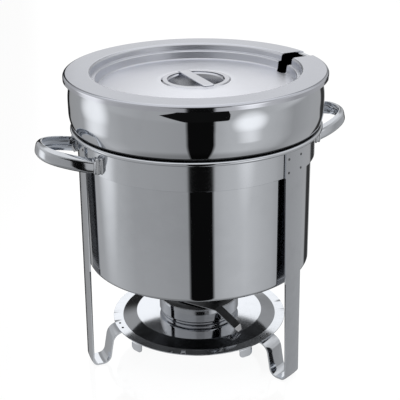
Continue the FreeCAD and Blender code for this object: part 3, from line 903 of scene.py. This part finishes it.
ZONE_LIMITS = ("Low", "High", "Inner", "Outer")
ZONE_EDGE = 0.5 * MM                # a zone fades out over this height at its top


def polish_lines_group():
    """Fine rings: noise over distance from the axis and height, so it is constant round the axis."""
    tree, (vector, fineness), result = new_group("polish_lines", ["Fineness"], "Lines")
    x, y, z = put(tree, "ShaderNodeSeparateXYZ", {0: vector}).outputs
    spot = put(tree, "ShaderNodeCombineXYZ", {0: axis_distance(tree, x, y), 1: z}).outputs[0]
    tree.links.new(noise(tree, spot, fineness, 3.0, {"Roughness": 0.65}, "2D"), result)
    return tree


def handling_group():
    """Soft patches of large noise, broken up by smaller noise, from nothing to one."""
    tree, (vector, size), result = new_group("handling_marks", ["Size"], "Marks")
    wide = noise(tree, vector, size, 2.0, {"Distortion": 0.6})
    small = noise(tree, vector, times(tree, size, 7.0), 4.0)
    mixed = times(tree, wide, maths(tree, "ADD", small, 0.5))
    tree.links.new(fade(tree, mixed, 0.42, 0.75, "LINEAR"), result)
    return tree


def scratch_group():
    """Hairlines: noise stretched along one direction, of which only the highest crests are kept."""
    tree, (vector, density), result = new_group("hairline_scratches", ["Density"], "Scratches")
    total = 0.0
    for turn, stretch in ((0.5, (1.0, 34.0, 1.0)), (1.9, (40.0, 1.0, 1.0)), (-0.9, (1.0, 1.0, 38.0))):
        inputs = {"Vector": vector, "Rotation": (turn, 0.4 * turn, turn), "Scale": stretch}
        lay = put(tree, "ShaderNodeMapping", inputs).outputs[0]
        crest = fade(tree, noise(tree, lay, density, 1.0), 0.68, 0.8, "LINEAR")
        total = maths(tree, "MAXIMUM", total, crest)
    tree.links.new(total, result)
    return tree


def zone_group():
    """Part of a round piece between two heights and two radii, where painted shade and light go, with a
    little cloudiness inside.
    """
    tree, (vector, low, high, inner, outer), result = new_group("painted_tone_zone", ZONE_LIMITS, "Zone")
    x, y, z = put(tree, "ShaderNodeSeparateXYZ", {0: vector}).outputs
    flat = axis_distance(tree, x, y)
    ring = times(tree, maths(tree, "GREATER_THAN", flat, inner), maths(tree, "LESS_THAN", flat, outer))
    above = maths(tree, "GREATER_THAN", z, low)
    depth = maths(tree, "DIVIDE", maths(tree, "SUBTRACT", high, z), ZONE_EDGE, clamp=True)
    cloud = noise(tree, vector, 30.0, 3.0)
    thick = maths(tree, "ADD", times(tree, cloud, 0.3), 0.75, clamp=True)
    total = times(tree, times(tree, ring, above), times(tree, depth, thick))
    tree.links.new(total, result)
    return tree


GROUPS = {"lines": polish_lines_group(), "marks": handling_group(), "scratches": scratch_group(),
          "zone": zone_group()}
print("shared effects:", ", ".join(group.name for group in GROUPS.values()))

# %% [markdown]
# One recipe makes all steel finishes. The base colour drifts between two near tones where the metal has
# been handled; roughness starts from the finish and rises with marks, lines and scratches; a very small
# bump bends the mirror image as real sheet does. Zones paint shade or light into the colour of a part of a
# piece and can dull it: painted shade under the drum, in the crease above the bead, in the finger cup and
# on the backs of the legs; a darker painted flange on the lid, and a satin recess with a slightly darker
# painted wall and a brighter painted floor. A few pieces wear a finish of their own instead of their
# slot's.

# %% Steel finishes
MARK_MATT = 0.025                   # roughness that handling marks add
SCRATCH_MATT = 0.04
SCRATCH_DENSITY = 16.0
SCRATCH_DEPTH = 0.008
LINE_MATT = 0.5                     # share of the clean roughness that polish lines add
SWELL_SCALE = 11.0
BUMP_STRENGTH = 0.1
BUMP_HEIGHT = 1.0 * MM


def steel(name, tone, worn_tone, rough, line_fineness, line_depth, mark_size, waviness=0.1, zones=()):
    """Polished or brushed steel: tone and worn tone mix by handling marks, rough is the clean value, and
    each zone of (low, high, inner, outer, colour, roughness) mixes in its colour, which paints shade and
    light here, and adds its roughness."""
    material = bpy.data.materials.new(name)
    tree = fresh_tree(material)
    place = put(tree, "ShaderNodeTexCoord").outputs["Object"]

    def effect(key, **values):
        """Output of one shared effect."""
        return put(tree, "ShaderNodeGroup", {"Vector": place, **values}, node_tree=GROUPS[key]).outputs[0]

    lines = effect("lines", Fineness=line_fineness)
    marks = effect("marks", Size=mark_size)
    scratches = effect("scratches", Density=SCRATCH_DENSITY)
    colour = blend_colours(tree, marks, (*tone, 1), (*worn_tone, 1))
    rise = maths(tree, "ADD", times(tree, marks, MARK_MATT), times(tree, scratches, SCRATCH_MATT))
    # Each zone mixes in a colour that paints shade or light onto its part, and adds roughness.
    for *limits, painted_tone, matt in zones:
        zone = effect("zone", **dict(zip(ZONE_LIMITS, limits)))
        colour = blend_colours(tree, zone, colour, (*painted_tone, 1))
        rise = maths(tree, "ADD", rise, times(tree, zone, matt))
    ringed = times(tree, lines, LINE_MATT * rough)
    roughness = maths(tree, "ADD", maths(tree, "ADD", rise, rough), ringed, clamp=True)
    swell = noise(tree, place, SWELL_SCALE, 1.0)
    height = maths(tree, "ADD", times(tree, lines, line_depth), times(tree, swell, waviness))
    height = maths(tree, "SUBTRACT", height, times(tree, scratches, SCRATCH_DEPTH))
    bump = put(tree, "ShaderNodeBump", {"Height": height, "Strength": BUMP_STRENGTH,
                                        "Distance": BUMP_HEIGHT})
    shader = put(tree, "ShaderNodeBsdfPrincipled", {"Base Color": colour, "Roughness": roughness,
                                                    "Metallic": 1.0, "Normal": bump.outputs[0]})
    put(tree, "ShaderNodeOutputMaterial", {"Surface": shader.outputs[0]})
    return material


# Near-black colour for painted shade under and between the pans.
SHADE_BLACK = (0.018, 0.017, 0.016)
# Painted shade on the underside of the drum, which the dish floor mirrors dark; it also adds roughness.
DRUM_UNDERSIDE_SHADE = (-1.0, PAN_BOTTOM + 0.5 * MM, -1.0, 1.0, SHADE_BLACK, 0.4)
# Painted shade: a near-black band in the crease above the bead, under the belly.
RIM_CREASE_SHADE = (RIM_Z + 0.1 * MM, RIM_Z + 3.8 * MM, BEAD_R - 9 * MM, 1.0, SHADE_BLACK, 0.4)
# Painted shade: the flange gets a darker tone than the rest of the lid, so its reflection looks dimmer, and
# slightly more roughness.
LID_FLANGE_SHADE = (LID_TOP - 1.5 * MM, LID_TOP + 1.0 * MM, RECESS_R - 1 * MM, 1.0, (0.60, 0.62, 0.68), 0.03)
FLOOR_EDGE = RECESS_R - 8.2 * MM
# Satin roughness on the recess wall, with a slightly darker tone painted in as shade.
RECESS_WALL_SATIN_SHADE = (0.0, LID_TOP - 0.1 * MM, FLOOR_EDGE, RECESS_R + 2.5 * MM, (0.72, 0.737, 0.79), 0.26)
# Satin roughness on the recess floor, with a tone brighter than the lid's painted in as light.
LID_FLOOR_SATIN_LIGHT = (0.0, LID_TOP - 5 * MM, CUP_R + 7 * MM, FLOOR_EDGE, (0.86, 0.875, 0.93), 0.3)
# Painted shade: the finger cup gets a much darker tone than the lid, and more roughness.
CUP_SHADE = (0.0, LID_TOP - 15 * MM, -1.0, CUP_R, (0.46, 0.47, 0.50), 0.2)
# Painted shade: a near-black tone on the inner faces of the legs, in an upper and a lower stretch.
LEG_BACK_SHADE = (0.07, 0.07, 0.075)
LEG_BACK_SHADE_HIGH = (COLLAR_LOW / 2, COLLAR_LOW, COLLAR_R - 1 * MM, COLLAR_R + 1.85 * MM, LEG_BACK_SHADE, 0.1)
LEG_BACK_SHADE_LOW = (15 * MM, COLLAR_LOW / 2, COLLAR_R + 1 * MM, COLLAR_R + 3.55 * MM, LEG_BACK_SHADE, 0.1)
# tone, worn tone, roughness, fineness and depth of lines, size of marks, waviness, zones of painted shade
# and light
RECIPES = {
    "polished_steel": ((0.71, 0.736, 0.778), (0.67, 0.695, 0.735), 0.018, 900.0, 0.006, 9.0, 0.06,
                       (DRUM_UNDERSIDE_SHADE, RIM_CREASE_SHADE)),
    "stand_steel": ((0.71, 0.736, 0.778), (0.66, 0.685, 0.725), 0.07, 700.0, 0.003, 14.0, 0.05,
                    (LEG_BACK_SHADE_HIGH, LEG_BACK_SHADE_LOW)),
    "lid_steel": ((0.74, 0.757, 0.82), (0.70, 0.715, 0.77), 0.06, 1100.0, 0.006, 11.0, 0.04,
                  (LID_FLANGE_SHADE, RECESS_WALL_SATIN_SHADE, LID_FLOOR_SATIN_LIGHT, CUP_SHADE)),
    "burner_steel": ((0.56, 0.57, 0.59), (0.46, 0.46, 0.47), 0.05, 800.0, 0.01, 20.0),
    # The rivet heads get a near-black tone, far darker than the steel round them.
    "rivet_steel": ((0.16, 0.165, 0.17), (0.10, 0.10, 0.105), 0.22, 900.0, 0.01, 60.0),
    "bracket_steel": ((0.71, 0.73, 0.76), (0.64, 0.66, 0.69), 0.14, 600.0, 0.01, 30.0),
}
FINISHES = {name: steel(name, *recipe) for name, recipe in RECIPES.items()}
OWN_FINISHES = {"burner_dish_plate": "stand_steel", "handle_sockets": "bracket_steel",
                "collar_rivet_heads": "rivet_steel", "dish_rivet_heads": "rivet_steel"}
for piece, slot in PIECES:
    piece.data.materials.clear()
    piece.data.materials.append(FINISHES[OWN_FINISHES.get(piece.name, slot)])
for node in ("shutter_plate", "shutter_pivot"):
    for material_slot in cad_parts[node].material_slots:
        material_slot.material = FINISHES["burner_steel"]
print("finishes:", ", ".join(FINISHES))

# %% [markdown]
# The room. Steel mirrors the whole room, so the room is a soft studio written as brightness over
# direction: grey walls and table, a pale backdrop behind between dark strips, a black card and a dark
# wall on the camera's side, two soft lamps at the sides. The camera itself sees white. The floor is pale
# and keeps the shadow.

# %% Studio
# Stops of (degrees from the camera's side, brightness); those of DARK_WALL are half heights instead.
LOW_ROOM = [
    (-180, 0.75), (-170, 0.7), (-168, 0.01), (-153, 0.01), (-150, 0.34), (-113, 0.44), (-93, 0.55),
    (-66, 0.42), (-32, 0.39), (-9, 0.36), (-8, 0.004), (15, 0.004), (16, 0.46), (26, 0.54), (48, 0.62),
    (79, 0.48), (93, 0.36), (120, 0.42), (141, 0.42), (144, 0.04), (159, 0.04), (163, 0.6), (170, 0.7),
    (180, 0.75),
]
HIGH_ROOM = [
    (-180, 0.80), (-172, 0.78), (-170, 0.02), (-158, 0.02), (-155, 0.5), (-90, 0.55), (-45, 0.42),
    (-9, 0.42), (-8, 0.004), (15, 0.004), (16, 0.46), (60, 0.5), (100, 0.6), (155, 0.5), (158, 0.3),
    (168, 0.3), (170, 0.78), (180, 0.80),
]
TOP_ROOM = [
    (-180, 1.25), (-172, 1.2), (-168, 0.36), (-150, 0.36), (-120, 0.8), (-60, 0.44), (-9, 0.4), (-8, 0.3),
    (15, 0.3), (16, 0.4), (60, 0.44), (120, 0.8), (150, 0.36), (168, 0.36), (172, 1.2), (180, 1.25),
]
DARK_WALL = [(-180, 0), (-33, 0), (-10, 0.16), (28, 0.16), (29, 0), (180, 0)]
# Heights are the z part of a direction, from -1 below to 1 above.
TABLE_EDGE = (-0.02, 0.08)
TOP_START, TOP_END, FRONT_DROP = 0.31, 0.47, 0.03
CEILING_EDGE, CEILING = (0.62, 0.75), 0.9
WALL_MIDDLE, WALL_EDGE, WALL_TONE = 0.19, 0.012, 0.006
GROUND_EDGE, GROUND_LOSS = (-0.62, -0.85), 0.4
SIDE_LAMPS = ((-100, -6, 0.925, 0.62), (47, -5, 0.945, 0.6))    # azimuth, elevation, spread, strength
WHITE = (1, 1, 1, 1)
FLOOR_HALF = 6.0
FLOOR_DROP = 0.4 * MM
FLOOR_TONE, FLOOR_GLOW = 0.1, 0.98
FLOOR_GLOSS, FLOOR_ROUGH = 0.09, 0.1
LAMP_AIM = (0, 0, 0.2)


def compass_band(tree, share, stops):
    """Brightness over azimuth: a colour ramp over the share of a full turn, with grey stops."""
    ramp = put(tree, "ShaderNodeValToRGB", {0: share})
    elements = ramp.color_ramp.elements
    while len(elements) < len(stops):
        elements.new(0.5)
    for element, (azimuth, grey) in zip(elements, stops):
        element.position = azimuth / 360 + 0.5
        element.color = (grey, grey, grey, 1)
    return ramp.outputs[0]


def make_world():
    """Room as brightness over direction: bands over azimuth that fade into one another with height, then
    the dark wall, the darker ground below and the lamps."""
    world = bpy.data.worlds.new("studio")
    bpy.context.scene.world = world
    tree = fresh_tree(world)
    direction = put(tree, "ShaderNodeTexCoord").outputs["Generated"]
    x, y, z = put(tree, "ShaderNodeSeparateXYZ", {0: direction}).outputs
    around = maths(tree, "ARCTAN2", x, times(tree, y, -1.0))
    share = maths(tree, "ADD", maths(tree, "DIVIDE", around, 2 * math.pi), 0.5)
    low, high, upper = [compass_band(tree, share, stops) for stops in (LOW_ROOM, HIGH_ROOM, TOP_ROOM)]
    room = blend_values(tree, fade(tree, z, *TABLE_EDGE), low, high)
    front = maths(tree, "GREATER_THAN", 0.0, y)
    start = maths(tree, "SUBTRACT", TOP_START, times(tree, front, FRONT_DROP))
    room = blend_values(tree, fade(tree, z, start, TOP_END), room, upper)
    room = blend_values(tree, fade(tree, z, *CEILING_EDGE), room, CEILING)
    off_middle = maths(tree, "ABSOLUTE", maths(tree, "SUBTRACT", z, WALL_MIDDLE))
    inside = maths(tree, "SUBTRACT", compass_band(tree, share, DARK_WALL), off_middle)
    room = blend_values(tree, fade(tree, inside, 0.0, WALL_EDGE), room, WALL_TONE)
    loss = times(tree, fade(tree, z, *GROUND_EDGE), GROUND_LOSS)
    room = times(tree, room, maths(tree, "SUBTRACT", 1.0, loss))
    for azimuth, elevation, spread, strength in SIDE_LAMPS:
        a, e = math.radians(azimuth), math.radians(elevation)
        aim = (math.sin(a) * math.cos(e), -math.cos(a) * math.cos(e), math.sin(e))
        near = put(tree, "ShaderNodeVectorMath", {0: direction, 1: aim}, operation="DOT_PRODUCT")
        glow = times(tree, fade(tree, near.outputs["Value"], spread, 1.0), strength)
        room = maths(tree, "ADD", room, glow)
    seen = put(tree, "ShaderNodeLightPath").outputs["Is Camera Ray"]
    mirrored = put(tree, "ShaderNodeBackground", {0: room})
    white = put(tree, "ShaderNodeBackground", {0: WHITE})
    final = put(tree, "ShaderNodeMixShader", {0: seen, 1: mirrored.outputs[0], 2: white.outputs[0]})
    put(tree, "ShaderNodeOutputWorld", {"Surface": final.outputs[0]})


def make_floor():
    """Pale floor that is white to the camera and darkens a little where light is held off."""
    mesh = bpy.data.meshes.new("floor")
    r = FLOOR_HALF
    mesh.from_pydata([(-r, -r, 0), (r, -r, 0), (r, r, 0), (-r, r, 0)], [], [(0, 1, 2, 3)])
    floor = new_object("floor", mesh)
    floor.location.z = -FLOOR_DROP
    material = bpy.data.materials.new("pale_floor")
    tree = fresh_tree(material)
    diffuse = put(tree, "ShaderNodeBsdfDiffuse", {0: (FLOOR_TONE, FLOOR_TONE, FLOOR_TONE, 1)})
    glow = put(tree, "ShaderNodeEmission", {0: WHITE, 1: FLOOR_GLOW})
    pale = put(tree, "ShaderNodeAddShader", {0: diffuse.outputs[0], 1: glow.outputs[0]})
    gloss = put(tree, "ShaderNodeBsdfGlossy", {0: WHITE, "Roughness": FLOOR_ROUGH})
    soft = put(tree, "ShaderNodeMixShader", {0: FLOOR_GLOSS, 1: pale.outputs[0], 2: gloss.outputs[0]})
    seen = put(tree, "ShaderNodeLightPath").outputs["Is Camera Ray"]
    final = put(tree, "ShaderNodeMixShader", {0: seen, 1: diffuse.outputs[0], 2: soft.outputs[0]})
    put(tree, "ShaderNodeOutputMaterial", {"Surface": final.outputs[0]})
    mesh.materials.append(material)
    floor.visible_glossy = False


def make_lamp(name, place, size, power):
    """Square soft lamp that looks at the object."""
    data = bpy.data.lights.new(name, "AREA")
    data.size = size
    data.energy = power
    lamp = new_object(name, data)
    lamp.location = place
    lamp.rotation_euler = (Vector(LAMP_AIM) - Vector(place)).to_track_quat("-Z", "Y").to_euler()
    lamp.visible_glossy = False


make_world()
make_floor()
make_lamp("top_lamp", (0.3, -0.4, 2.2), 1.8, 18)
bpy.context.scene.view_settings.view_transform = "Standard"
print("studio: one lamp, one floor, a painted room")
